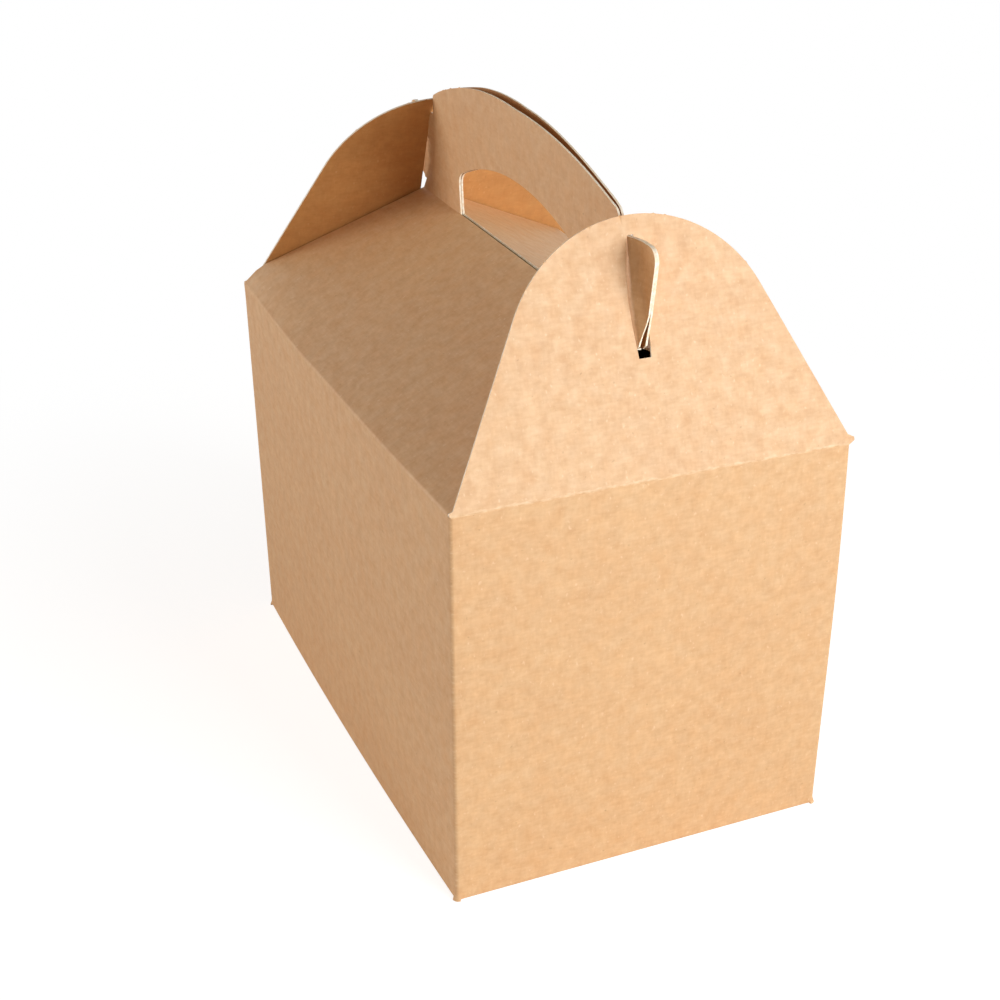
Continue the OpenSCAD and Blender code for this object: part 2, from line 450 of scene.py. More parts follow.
@dataclass(frozen=True)
class KraftFace:
    """Uncoated kraft board, machine made and lightly calendered.

    Its mottled formation, short fibres, small bark flecks and pale shives give the eye a warm brown
    that is never quite even, with a faint sheen and no gloss.

    Attributes:
        name: Material name.
        body: Main colour of the face.
        cloud: Colour of the darker clouds of fibre.
        fleck: Colour of the bark flecks.
        pale_tone: Colour of pale shives, and of the paler line along each crease, partly scuffed fibre and
            partly painted highlight of the fold.
        roughness: Mean roughness.
        relief_mm: Height of the fibre relief.
        seed: Offset of the pattern, in metres.
    """

    name: str
    body: str
    cloud: str
    fleck: str
    pale_tone: str
    roughness: float = 0.56
    relief_mm: float = 0.03
    seed: float = 0.0

    CLOUD_MM = 22.0
    FORMATION_MM = 3.4
    FIBRE_MM = (2.4, 0.8)
    FLECK_MM = 1.3
    SHIVE_MM = (1.0, 1.0 / 0.7)
    HUE_MM = 4.5
    WARM_CAST = (1.017, 0.995, 0.965, 1.0)
    COOL_CAST = (0.983, 1.005, 1.035, 1.0)
    SHEEN_RANGE = 0.06

    def build(self) -> bpy.types.Material:
        """Makes the material.

        Returns:
            The new material.
        """
        material = new_material(self.name)
        tree = material.node_tree
        sheet = add_node(tree, "ShaderNodeUVMap", {"uv_map": UV_NAME}).outputs[0]
        shift = {"Location": (self.seed, self.seed * 0.7, 0.0)}
        place = add_node(tree, "ShaderNodeMapping", shift, {"Vector": sheet}).outputs[0]
        formation = noise(tree, place, (self.FORMATION_MM, self.FORMATION_MM), 5.0)
        fibres = noise(tree, place, self.FIBRE_MM, 4.0)
        cross = noise(tree, place, self.FIBRE_MM[::-1], 3.0, 0.35)
        colour = self._colour(tree, place, (formation, fibres, cross))
        relief = weighted_sum(tree, ((fibres, 0.6), (formation, 0.5), (cross, 0.3)))
        height = {"Strength": 0.6, "Distance": self.relief_mm * MM}
        bump = add_node(tree, "ShaderNodeBump", height, {"Height": relief}).outputs[0]
        ends = (self.roughness + self.SHEEN_RANGE, self.roughness - self.SHEEN_RANGE)
        matt = spread(tree, formation, (0.3, 0.7), ends)
        gloss = {"IOR": 1.46, "Metallic": 0.0, "Specular IOR Level": 0.72}
        return finish_material(material, gloss, {"Base Color": colour, "Roughness": matt, "Normal": bump})

    def _colour(self, tree: Tree, place: Socket, grain: tuple[Socket, ...]) -> Socket:
        """Colour of the face: clouds, a faint change of hue, bark flecks, pale shives and paler crease
        lines, partly scuffed and partly painted highlight.

        Args:
            tree: The node tree.
            place: Flat coordinates in metres.
            grain: The formation, the fibres and the fibres that lie across them.

        Returns:
            The colour.
        """
        formation, fibres, cross = grain
        clouds = noise(tree, place, (self.CLOUD_MM, self.CLOUD_MM), 3.0)
        specks = noise(tree, place, (self.FLECK_MM, self.FLECK_MM), 1.0)
        shives = noise(tree, place, self.SHIVE_MM, 1.0, 1.1)
        hue = noise(tree, place, (self.HUE_MM, self.HUE_MM), 4.0, 0.7)
        tone = weighted_sum(tree, ((clouds, 0.3), (formation, 0.95), (fibres, 0.7), (cross, 0.5)))
        tone = spread(tree, tone, (0.95, 1.5), (0.0, 1.0))
        colour = mix(tree, tone, linear(self.cloud), linear(self.body))
        hue = spread(tree, hue, (0.32, 0.68), (0.0, 1.0))
        colour = mix(tree, 1.0, colour, mix(tree, hue, self.WARM_CAST, self.COOL_CAST), "MULTIPLY")
        dark = spread(tree, specks, (0.72, 0.82), (0.0, 0.5))
        colour = mix(tree, dark, colour, linear(self.fleck))
        pale = spread(tree, shives, (0.66, 0.78), (0.0, 0.45))
        colour = mix(tree, pale, colour, linear(self.pale_tone))
        # Paler along the creases: partly scuffed fibre, partly painted highlight of the rounded folds.
        crease = add_node(tree, "ShaderNodeAttribute", {"attribute_name": CREASE}).outputs["Fac"]
        crease_pale = weighted_sum(tree, ((crease, 0.5), (fibres, 1.5)))
        crease_pale = spread(tree, crease_pale, (1.1, 1.6), (0.0, 0.8))
        return mix(tree, crease_pale, colour, linear(self.pale_tone))


@dataclass(frozen=True)
class CutEdge:
    """The cut edge of the board, where a steel rule has opened the layers.

    The torn ends of the fibres scatter more light than the pressed faces, and both colours are lifted close
    to white as painted highlight, so the edge reads as a thin pale line with a trace of the layers along
    it.

    Attributes:
        name: Material name.
        light: Colour of the open fibre, lifted close to white as painted highlight.
        dark: Colour between the layers.
    """

    name: str
    light: str
    dark: str

    LAYER_MM = 0.9

    def build(self) -> bpy.types.Material:
        """Makes the material.

        Returns:
            The new material.
        """
        material = new_material(self.name)
        tree = material.node_tree
        place = add_node(tree, "ShaderNodeTexCoord").outputs["Object"]
        settings = {"Scale": 1.0 / (self.LAYER_MM * MM), "Detail": 3.0, "Roughness": 0.6}
        layers = add_node(tree, "ShaderNodeTexNoise", settings, {"Vector": place}).outputs["Fac"]
        factor = spread(tree, layers, (0.35, 0.65), (0.0, 1.0))
        colour = mix(tree, factor, linear(self.dark), linear(self.light))
        gloss = {"IOR": 1.46, "Roughness": 0.85, "Specular IOR Level": 0.25}
        return finish_material(material, gloss, {"Base Color": colour})


@dataclass
class CardStock:
    """The board that every piece is cut from.

    Attributes:
        thickness: Thickness in mm.
        outer: Finish of the outside.
        cut: Finish of the cut edges, pale card lifted close to white as painted highlight.
        inner: Finish of the inside: the same kraft, given darker, more saturated browns as painted shade.
        materials: The three materials in the order of Face, once they are made.
    """

    thickness: float = 0.5
    outer: KraftFace = KraftFace("kraft_outer_liner", "#E2B684", "#D3A06E", "#B27F4D", "#EFCDA2")
    # Cut edges: pale card lifted nearly to white, partly as painted highlight.
    cut: CutEdge = CutEdge("kraft_cut_edge_painted_highlight", "#FFF6E4", "#F7DDB8")
    # The inside is the same kraft as the outside; its darker, more saturated browns are painted shade of
    # the box's inside.
    inner: KraftFace = KraftFace(
        "kraft_inner_painted_shade", "#C98F51", "#BA7F43", "#97612F", "#D8AA72", roughness=0.62, seed=0.37
    )
    materials: list[bpy.types.Material] = field(default_factory=list)

    def prepare(self) -> None:
        """Makes the three materials."""
        self.materials = [self.outer.build(), self.cut.build(), self.inner.build()]

    def sheet(
        self,
        name: str,
        blank: Blank,
        fold: Callable[[np.ndarray], np.ndarray],
        crease: Callable[[np.ndarray], np.ndarray],
    ) -> bpy.types.Object:
        """Makes a folded piece of card from a blank.

        Args:
            name: Name of the new object.
            blank: The flat shape.
            fold: Turns flat points into places in mm, on the middle layer of the card.
            crease: Gives the paler crease line, scuffing and painted highlight, from 0 to 1 at flat points.

        Returns:
            The piece, as a plain mesh.
        """
        flat, faces = blank.cut()
        mesh = bpy.data.meshes.new(name)
        mesh.from_pydata((fold(flat) * MM).tolist(), [], faces)
        uv = mesh.uv_layers.new(name=UV_NAME)
        corner = np.zeros(len(mesh.loops), np.int32)
        mesh.loops.foreach_get("vertex_index", corner)
        uv.data.foreach_set("uv", (flat[corner] * MM).ravel())
        # Paler crease line, scuffing and painted highlight, kept on the points.
        crease_pale = mesh.attributes.new(CREASE, "FLOAT", "POINT")
        crease_pale.data.foreach_set("value", crease(flat).astype(np.float32))
        for material in self.materials:
            mesh.materials.append(material)
        piece = bpy.data.objects.new(name, mesh)
        bpy.context.scene.collection.objects.link(piece)
        thick = piece.modifiers.new("thickness", "SOLIDIFY")
        thick.thickness = self.thickness * MM
        thick.offset = 0.0
        thick.use_even_offset = False
        thick.material_offset_rim = Face.CUT.value
        thick.material_offset = Face.INNER.value
        return self.settle(piece)

    @staticmethod
    def settle(piece: bpy.types.Object) -> bpy.types.Object:
        """Turns a piece with modifiers into a plain mesh, smooth over the folds and sharp at the cuts.

        Args:
            piece: The piece.

        Returns:
            The same piece with its new mesh.
        """
        bpy.context.view_layer.update()
        done = bpy.data.meshes.new_from_object(piece.evaluated_get(bpy.context.evaluated_depsgraph_get()))
        piece.modifiers.clear()
        piece.data = done
        done.name = piece.name
        done.shade_smooth()
        done.set_sharp_from_angle(angle=math.radians(40))
        return piece


def arc(centre: Point, radius: float, start: float, end: float, step: float = 1.0) -> list[Point]:
    """Points along an arc.

    Args:
        centre: Centre of the arc in mm.
        radius: Radius in mm.
        start: First angle in degrees.
        end: Last angle in degrees.
        step: Largest distance between points in mm.

    Returns:
        The points, with both ends.
    """
    count = max(3, math.ceil(abs(math.radians(end - start)) * radius / step))
    angles = np.radians(np.linspace(start, end, count + 1))
    return [(centre[0] + radius * math.cos(a), centre[1] + radius * math.sin(a)) for a in angles]


@dataclass
class BoxForm:
    """Driving sizes of the box in mm and degrees, shared by the carton and its end flaps.

    Attributes:
        width: Outer width across the end panels.
        length: Outer length along the side panels.
        wall_top: Height of the walls' top folds.
        roof_rise: Height of the ridge above those folds.
        card: Thickness of the card.
        ridge_gap: Gap between the two roof panels at the ridge.
        slot_drop: How far an end flap's slot starts below the ridge, measured along the flap.
        slot_length: Length of the slot.
        flap_head: Card above the slot.
        flap_round: Radius of the flap's head.
        slot_play: Gap between the ears and the top of the slot.
        lean: Lean of each end flap.
    """

    width: float
    length: float
    wall_top: float = 103.0
    roof_rise: float = 27.0
    card: float = 0.5
    ridge_gap: float = 0.12
    slot_drop: float = 2.6
    slot_length: float = 27.4
    flap_head: float = 4.2
    flap_round: float = 33.6
    slot_play: float = 0.3
    lean: dict[int, float] = field(default_factory=lambda: {FRONT: 18.5, REAR: 21.3})

    def __post_init__(self) -> None:
        """Works out the places that several pieces share."""
        self.ridge_z = self.wall_top + self.roof_rise
        self.hinge_y = self.length / 2 - self.card / 2
        self.hinge_z = self.wall_top - self.card / 2
        front = math.radians(self.lean[FRONT])
        self.slot_low = (self.ridge_z - self.hinge_z) / math.cos(front) - self.slot_drop
        self.slot_high = self.slot_low + self.slot_length
        self.flap_height = self.slot_high + self.flap_head

    def on_flap(self, end: int, up: float, out: float) -> Point:
        """Place of a point on an end flap.

        Args:
            end: FRONT or REAR.
            up: Height up the flap from its fold in mm.
            out: Offset outwards from the middle of its card in mm.

        Returns:
            Y and Z in mm.
        """
        lean = math.radians(self.lean[end])
        y = self.hinge_y - up * math.sin(lean) + out * math.cos(lean)
        return end * y, self.hinge_z + up * math.cos(lean) + out * math.sin(lean)

    def behind_flap(self, end: int, z: float, gap: float) -> float:
        """Distance from the middle of the box to the line just behind an end flap.

        Args:
            end: FRONT or REAR.
            z: Height in mm.
            gap: Gap behind the flap's inner face in mm.

        Returns:
            The distance in mm.
        """
        lean = math.radians(self.lean[end])
        out = -self.card / 2 - gap
        up = (z - self.hinge_z - out * math.sin(lean)) / math.cos(lean)
        return self.hinge_y - up * math.sin(lean) + out * math.cos(lean)


@dataclass(frozen=True)
class Climb:
    """A place across the box that changes from the ridge up to a height above it.

    Attributes:
        foot: Place at the ridge in mm.
        top: Place at the height in mm, and above it.
        height: The height in mm.
        belly: How far the line between them bulges in mm.
    """

    foot: float
    top: float
    height: float = 23.0
    belly: float = 0.0

    def at(self, h: np.ndarray) -> np.ndarray:
        """Place at heights h above the ridge."""
        share = np.clip(h / self.height, 0.0, 1.0)
        return self.foot + (self.top - self.foot) * share + self.belly * np.sin(np.pi * share)


@dataclass(frozen=True)
class HandleSide:
    """How one handle panel stands across the box, measured from the middle plane.

    Attributes:
        front: Place of the free part of the panel towards the front.
        rear: Place of its free part towards the rear.
        swing: Where along the box it changes from one to the other, rear end first.
        slots: Place where it passes each end flap's slot.
        tips: Place of the outer edge of each ear.
        squeeze: Distance over which it bends before a slot.
        settle: Distance over which it bends after a slot.
        pressed: Where along the box it starts and ends to lie against the other panel, if it does.
        partner: The other panel.
        layer: Distance between the middle layers of two panels that touch.
        rise: Height above the ridge over which the two come to touch.
    """

    front: Climb
    rear: Climb
    swing: Point
    slots: dict[int, Climb]
    tips: dict[int, float]
    squeeze: float = 7.0
    settle: float = 4.8
    pressed: Point = (0.0, 0.0)
    partner: "HandleSide | None" = None
    layer: float = 0.54
    rise: float = 2.0

    def x(self, y: np.ndarray, h: np.ndarray, beyond: np.ndarray) -> np.ndarray:
        """Place across the box.

        Args:
            y: Places along the box.
            h: Heights above the ridge.
            beyond: Distances outwards from the back of the nearer end flap.

        Returns:
            Places across the box in mm.
        """
        to_front = ease((self.swing[0] - y) / (self.swing[0] - self.swing[1]))
        free = self.rear.at(h) * (1 - to_front) + self.front.at(h) * to_front
        slot = np.where(y > 0, self.slots[REAR].at(h), self.slots[FRONT].at(h))
        into, out = ease(beyond / self.squeeze + 1.0), ease(beyond / self.settle)
        tip = np.where(y > 0, self.tips[REAR], self.tips[FRONT])
        place = (free * (1 - into) + slot * into) * (1 - out) + tip * out
        if self.partner is None:
            return place
        start, stop = self.pressed
        share = ease((y - start) / (stop - start)) * ease(h / self.rise)
        return place * (1 - share) + (self.partner.x(y, h, beyond) + self.layer) * share


LEFT_SIDE = HandleSide(
    front=Climb(-0.31, -1.55, 30.0),
    rear=Climb(-0.31, -1.7, 30.0),
    swing=(55.0, -10.0),
    slots={FRONT: Climb(-1.65, -1.38, belly=-0.7), REAR: Climb(-0.31, -1.0, 18.0, 1.3)},
    tips={FRONT: -0.1, REAR: -2.6},
)
RIGHT_SIDE = HandleSide(
    front=Climb(0.31, -0.35, 30.0),
    rear=Climb(0.31, 1.6, 30.0),
    swing=(8.0, -50.0),
    slots={FRONT: Climb(0.1, -0.7), REAR: Climb(0.31, 1.4)},
    tips={FRONT: 0.42, REAR: -2.0},
    pressed=(27.0, 42.0),
    partner=LEFT_SIDE,
)


@dataclass
class Carton:
    """The folded sheet: walls, base, glued tab, roof panels and the two handle panels with their ears.

    Attributes:
        form: Shared sizes.
        fold_radius: Radius of the upright folds, on the middle layer.
        base_radius: Radius of the folds between walls and base.
        top_radius: Radius of the folds between walls and roof.
        ridge_radius: Radius of the folds between roof and handle.
        side_bow: How far the long walls bow outwards at their middle.
        end_bow: How far the end walls bow outwards at their middle.
        tab_width: Width of the glued tab.
        tab_end: How far the tab stops short of the wall's top and foot.
        handle_splay: Lean of the handle panels away from each other, in degrees.
        handle_inset: How far the arch stops short of each end flap.
        arch_radius: Radius of the handle's arch.
        arch_top: Height of the arch.
        arch_corner: Radius of the arch's rounded ends.
        arch_bulge: How much fuller the arch is towards the rear.
        hole_length: Length of the hand hole.
        hole_height: Height of the hand hole.
        hole_arch: Radius of the hand hole's top edge.
        hole_corner: Radius of its corners.
        ear_reach: How far each ear reaches past its end flap.
        ear_corner: Radius of an ear's tip.
        ear_foot: Height of each ear's foot above the foot of the slot.
        ear_notch: How far the panel below each ear stands back behind the end flap.
        ear_rise: How far each ear's tip rises above the slot's top.
        left_side: How the left handle panel stands.
        right_side: How the right handle panel stands.
        edge_sway: How far the front right and the rear left edges stand out.
        swell: Height by which the roof swells over the rear flap.
        swell_start: Where along the box the swelling starts.
        corner_tip: How far a corner's foot sticks out.
        tongue_width: Width of the base's tongue.
        tongue_reach: How far the tongue reaches past the middle of the base.
        notch_depth: Depth of the notch that takes it.
        base_bevel: Bevel of the base's end flaps.
        base_flap: Depth of the base's end flaps.
        gap: Gap between pieces of card that meet.
        cell: Distance between the points of the sheet.
        lap: Rise of a layer of card that lies on another.
        edge_offset: How far cuts beside a fold stay clear of it.
        side_inset: How far the base's side flaps stop short of the box's ends.
        side_bevel: Bevel of those flaps.
    """

    form: BoxForm
    fold_radius: float = 0.65
    base_radius: float = 0.45
    top_radius: float = 0.8
    ridge_radius: float = 0.45
    side_bow: float = 1.15
    end_bow: float = 0.35
    tab_width: float = 13.0
    tab_end: float = 4.0
    handle_splay: float = 1.4
    handle_inset: dict[int, float] = field(default_factory=lambda: {FRONT: 2.2, REAR: 0.0})
    arch_radius: float = 183.9
    arch_top: float = 166.6
    arch_corner: dict[int, float] = field(default_factory=lambda: {FRONT: 2.6, REAR: 1.2})
    arch_bulge: float = 1.0
    hole_length: float = 78.0
    hole_height: float = 19.0
    hole_arch: float = 93.0
    hole_corner: float = 4.0
    ear_reach: float = 11.6
    ear_corner: float = 3.0
    ear_foot: dict[int, float] = field(default_factory=lambda: {FRONT: 3.2, REAR: 6.0})
    ear_notch: dict[int, float] = field(default_factory=lambda: {FRONT: 2.2, REAR: 0.0})
    ear_rise: dict[int, float] = field(default_factory=lambda: {FRONT: 0.0, REAR: 1.9})
    left_side: HandleSide = LEFT_SIDE
    right_side: HandleSide = RIGHT_SIDE
    edge_sway: dict[int, float] = field(default_factory=lambda: {FRONT: 0.6, REAR: 1.0})
    swell: float = 5.0
    swell_start: float = 18.0
    corner_tip: float = 0.6
    tongue_width: float = 50.0
    tongue_reach: float = 30.0
    notch_depth: float = 9.0
    base_bevel: float = 14.0
    base_flap: float = 47.0
    gap: float = 0.3
    cell: float = 3.4
    lap: float = 0.53
    edge_offset: float = 0.15
    side_inset: float = 4.0
    side_bevel: float = 3.0

    # Width and strength of the paler crease lines: scuffed fibre and painted highlight of the folds.
    FOOT_PALE = (0.5, 0.8)
    EDGE_PALE = (0.5, 0.75)
    ROOF_PALE = (0.6, 0.4)
    FOLD_STEP = (1.4, 3.4)
    TIP_HEIGHT = 1.6
    SWELL_AT_FOLD = 0.45
    SWELL_ABOVE = 0.1
    SWELL_BELOW = 0.08
    SWELL_OUTWARD = 0.15
    HANDLE_PATH = 60.0
    FOLD_ROOM = 0.7
    COLUMN_ROOM = 2.6
    EAR_BEND = (54.0, 74.0)
    EAR_STEP = 2.0
    EAR_SHIFT = 0.4
    FLAP_RUN = 2.4
    TONGUE_RUN = 6.0

    def __post_init__(self) -> None:
        """Lays out the plan of the walls and the sections through side and end panels."""
        f = self.form
        half = f.card / 2
        hx, hy = f.width / 2 - half, f.length / 2 - half
        tab_x = hx - f.card
        self.plan = FoldPath(
            [
                (tab_x, hy - self.tab_width - half), (tab_x, hy), (-hx, hy), (-hx, -hy),
                (hx, -hy), (hx, hy + half),
            ],
            [0.4, self.fold_radius, self.fold_radius, self.fold_radius],
        )
        slope = math.atan2(f.roof_rise, f.width / 2 - f.ridge_gap / 2)
        fold_z = f.wall_top - half * math.cos(slope) + half * (1 - math.sin(slope)) * math.tan(slope)
        self.ridge_x = f.ridge_gap / 2 + half
        self.ridge_mid_z = f.ridge_z - half * math.tan(slope) - half / math.cos(slope)
        splay = math.radians(self.handle_splay)
        top = self.HANDLE_PATH
        self.side = FoldPath(
            [
                (hx + self.tongue_reach, half), (0.0, half), (0.0, fold_z),
                (hx - self.ridge_x, self.ridge_mid_z),
                (hx - self.ridge_x - top * math.sin(splay), self.ridge_mid_z + top * math.cos(splay)),
            ],
            [self.base_radius, self.top_radius, self.ridge_radius],
            origin=1,
        )
        self.end_top = f.hinge_z
        self.end = FoldPath(
            [(self.base_flap + 4, half), (0.0, half), (0.0, self.end_top + 5)], [self.base_radius], origin=1
        )

    def side_s(self, z: float) -> float:
        """Length up a side panel of the handle's height z."""
        return self.side.knots[3] + (z - self.ridge_mid_z) / math.cos(math.radians(self.handle_splay))

    def handle_end(self, end: int) -> float:
        """Distance of the end of the handle's arch from the middle of the box."""
        behind = abs(self.form.on_flap(end, self.form.flap_height, -self.form.card / 2 - self.gap)[0])
        return behind - self.handle_inset[end]

    def ear_top(self, end: int) -> float:
        """Height of the level top edge of the ears at one end."""
        return self.form.on_flap(end, self.form.slot_high - self.form.slot_play, 0.0)[1]

    def _ear(self, end: int) -> list[Point]:
        """Edge of the handle panel round one ear, from the ridge up to the arch.

        Args:
            end: FRONT or REAR.

        Returns:
            Corners in Y and Z.
        """
        f = self.form
        top = self.ear_top(end)
        foot_up = f.slot_low + self.ear_foot[end]
        foot = f.on_flap(end, foot_up, f.card / 2)
        notch = self.ear_notch[end]
        inner = f.on_flap(end, foot_up - notch / 2, -f.card / 2 - self.gap - notch)
        tip_y = f.on_flap(end, f.slot_high - f.slot_play, 0.0)[0] + end * self.ear_reach
        slope = (tip_y - foot[0]) / (top - foot[1])
        r = self.ear_corner
        centre = (tip_y - slope * r - end * r * math.sqrt(1 + slope * slope), top + self.ear_rise[end] - r)
        tilt = math.degrees(math.atan(abs(slope)))
        if end > 0:
            corner = arc(centre, r, -tilt, 90, FINE_STEP)
        else:
            corner = arc(centre, r, 180 + tilt, 90, FINE_STEP)
        shoulder_y = end * self.handle_end(end)
        return [inner, foot, *corner, (shoulder_y, top)]

    def _panel_top(self) -> list[Point]:
        """Edge of a side panel, from the rear top fold over the handle to the front one.

        Returns:
            Corners in Y and panel length.
        """
        f = self.form
        edge: list[Point] = []
        for end in (1, -1):
            fold_s, ridge_s = self.side.knots[2], self.side.knots[3]
            low = (end * f.behind_flap(end, f.wall_top, self.gap), fold_s)
            high = (end * f.behind_flap(end, self.ridge_mid_z, self.gap + self.ear_notch[end]), ridge_s)
            part = [low, high, *((y, self.side_s(z)) for y, z in self._ear(end))]
            edge += part if end > 0 else part[::-1]
            if end == REAR:
                edge += [(y, self.side_s(z)) for y, z in self._arch()]
        return edge

    def _arch(self) -> list[Point]:
        """Edge of the handle's arch, from the rear to the front, with its rounded ends.

        Returns:
            Corners in Y and Z.
        """
        centre_z = self.arch_top - self.arch_radius
        angles, corners = {}, {}
        for end, r in self.arch_corner.items():
            corner_y = end * (self.handle_end(end) - r)
            turn = math.degrees(math.acos(corner_y / (self.arch_radius - r)))
            corner = (corner_y, centre_z + (self.arch_radius - r) * math.sin(math.radians(turn)))
            angles[end], corners[end] = turn, corner
        rear = arc(corners[REAR], self.arch_corner[REAR], 0, angles[REAR], FINE_STEP)
        over = arc((0.0, centre_z), self.arch_radius, angles[REAR], angles[FRONT], COARSE_STEP)
        front = arc(corners[FRONT], self.arch_corner[FRONT], angles[FRONT], 180, FINE_STEP)
        shares = [min(max(y, 0.0) / rear[0][0], 1.0) for y, _ in over]
        fuller = [(y, z + self.arch_bulge * math.sin(math.pi * t)) for (y, z), t in zip(over, shares)]
        return [*rear, *fuller[1:-1], *front]

    def _hole(self) -> list[Point]:
        """Edge of the hand hole, counterclockwise from its front lower corner.

        Returns:
            Corners in Y and panel length.
        """
        base_z = self.ridge_mid_z
        centre_z = self.form.ridge_z + self.hole_height - self.hole_arch
        corner_y = self.hole_length / 2 - self.hole_corner
        angle = math.degrees(math.acos(corner_y / (self.hole_arch - self.hole_corner)))
        corner_z = centre_z + (self.hole_arch - self.hole_corner) * math.sin(math.radians(angle))
        right = arc((corner_y, corner_z), self.hole_corner, 0, angle, FINE_STEP)
        over = arc((0.0, centre_z), self.hole_arch, angle, 180 - angle, COARSE_STEP)
        left = arc((-corner_y, corner_z), self.hole_corner, 180 - angle, 180, FINE_STEP)
        edge = [(-self.hole_length / 2, base_z), (self.hole_length / 2, base_z), *right, *over[1:-1], *left]
        return [(y, self.side_s(z)) for y, z in edge]

    def _along(self, panel: str, y: float) -> float:
        """Plan length of a place on a side panel.

        Args:
            panel: Left or right.
            y: Place along the box.

        Returns:
            The plan length in mm.
        """
        p = self.plan.knots
        left_mid, right_mid = (p[2] + p[3]) / 2, p[4] + (p[3] - p[2]) / 2
        return left_mid - y if panel == "left" else right_mid + y

    def _end_base(self, start: float, stop: float) -> list[Point]:
        """Edge of the base flap under an end panel.

        Args:
            start: Plan length of the panel's first upright fold.
            stop: Plan length of its second one.

        Returns:
            Corners in plan length and panel length.
        """
        take = self.fold_radius + self.edge_offset
        low, bevel, deep = -self.edge_offset, self.base_bevel, -self.base_flap
        aside, down = self.FOLD_STEP
        return [
            (start + take, low), (start + aside, -down), (start + bevel, deep),
            (stop - bevel, deep), (stop - aside, -down), (stop - take, low),
        ]

    def _side_base(self, panel: str) -> list[Point]:
        """Edge of the base flap under a side panel, with the notch on the left one and the tongue right.

        Args:
            panel: Left or right.

        Returns:
            Corners in plan length and panel length.
        """
        hx = self.form.width / 2 - self.form.card / 2
        half, bevel, deep = self.tongue_width / 2, self.base_bevel / 2, self.notch_depth
        meet, reach = -(hx - self.gap), -(hx + self.tongue_reach)
        notch = [
            (half + 0.5, meet), (half - deep / 2, meet + deep),
            (-half + deep / 2, meet + deep), (-half - 0.5, meet),
        ]
        tongue = [
            (half, meet), (half, reach + bevel), (half - bevel, reach), (-half + bevel, reach),
            (-half, reach + bevel), (-half, meet),
        ]
        flat_end = self._flat_end()
        side_end = self.form.length / 2 - self.side_inset
        near = [(flat_end, -self.edge_offset), (side_end, -2.0), (side_end - self.side_bevel, meet)]
        far = [(-y, s) for y, s in near[::-1]]
        ring = [*near, *(notch if panel == "left" else tongue), *far]
        turn = 1 if panel == "left" else -1
        return [(self._along(panel, turn * y), s) for y, s in ring]

    def _flat_end(self) -> float:
        """Half length of the flat part of a side panel's foot."""
        return (self.plan.knots[3] - self.plan.knots[2]) / 2 - self.fold_radius - self.edge_offset

    def _blank(self) -> Blank:
        """Draws the whole sheet.

        Returns:
            The blank, with the plan length across and the panel length up.
        """
        p = self.plan.knots
        take = self.fold_radius + self.edge_offset
        wall_low = -self.edge_offset
        end_high = self.end_top - self.form.card / 2
        wall_high = end_high - self.edge_offset
        flat_end = self._flat_end()
        tab_low, tab_high = self.tab_end, self.form.wall_top - self.tab_end
        bevel = self.tab_width / 4
        panel = self._panel_top()
        outline: list[Point] = [
            (p[0], tab_high - bevel), (p[0], tab_low + bevel),
            (p[0] + bevel, tab_low), (p[1] - take, tab_low),
            *self._end_base(p[1], p[2]),
            *self._side_base("left"),
            *self._end_base(p[3], p[4]),
            *self._side_base("right"),
            (p[5], wall_low), (p[5], wall_high), (self._along("right", flat_end), wall_high),
            *((self._along("right", y), s) for y, s in panel),
            (self._along("right", -flat_end), wall_high), (p[4] - take, wall_high), (p[4] - take, end_high),
            (p[3] + take, end_high), (p[3] + take, wall_high), (self._along("left", -flat_end), wall_high),
            *((self._along("left", y), s) for y, s in panel[::-1]),
            (self._along("left", flat_end), wall_high), (p[2] - take, wall_high), (p[2] - take, end_high),
            (p[1] + take, end_high), (p[1] + take, wall_high),
            (p[1] - take, tab_high), (p[0] + bevel, tab_high),
        ]
        hole = self._hole()
        holes = [[(self._along(side, y), s) for y, s in hole] for side in ("left", "right")]
        return Blank(outline, holes, self._columns(), self._rows())

    def _rows(self) -> list[float]:
        """Rows of points on the sheet, close together at folds and wider between them.

        Returns:
            Panel lengths of the rows.
        """
        s = self.side.knots
        rows = [
            *self.side.rows(1, self.FOLD_ROOM), *self.side.rows(2, self.FOLD_ROOM),
            *self.side.rows(3, 0.6),
        ]
        for low, high, step in (
            (s[0], s[1] - 2, 5.0), (s[1] + 2, s[2] - 2, self.cell), (s[2] + 2.5, s[3] - 2, self.cell),
            (s[3] + 2, s[3] + 40, 2.0), (-3.6, -0.9, 0.9),
        ):
            rows += list(np.linspace(low, high, max(2, round((high - low) / step))))
        return rows

    def _columns(self) -> list[float]:
        """Columns of points on the sheet, closer together where the ears bend.

        Returns:
            Plan lengths of the columns.
        """
        p = self.plan.knots
        columns: list[float] = []
        for corner in range(1, len(p) - 1):
            columns += self.plan.rows(corner, self.FOLD_ROOM)
        for low, high in zip(p[:-1], p[1:]):
            count = max(2, round((high - low) / self.cell))
            columns += list(np.linspace(low + self.COLUMN_ROOM, high - self.COLUMN_ROOM, count))
        for end in (FRONT, REAR):
            for y in np.arange(*self.EAR_BEND, self.EAR_STEP):
                place = end * y + self.EAR_SHIFT
                columns += [self._along(side, place) for side in ("left", "right")]
        return columns

    def _panels(self, p: np.ndarray) -> tuple[np.ndarray, np.ndarray, np.ndarray]:
        """Which panel each plan length is on.

        Args:
            p: Plan lengths.

        Returns:
            Whether each is on the left panel, on the right one, and on an end panel or the seam tab.
        """
        k = self.plan.knots
        left = (p > k[2]) & (p <= k[3])
        right = p > k[4]
        return left, right, ~(left | right)

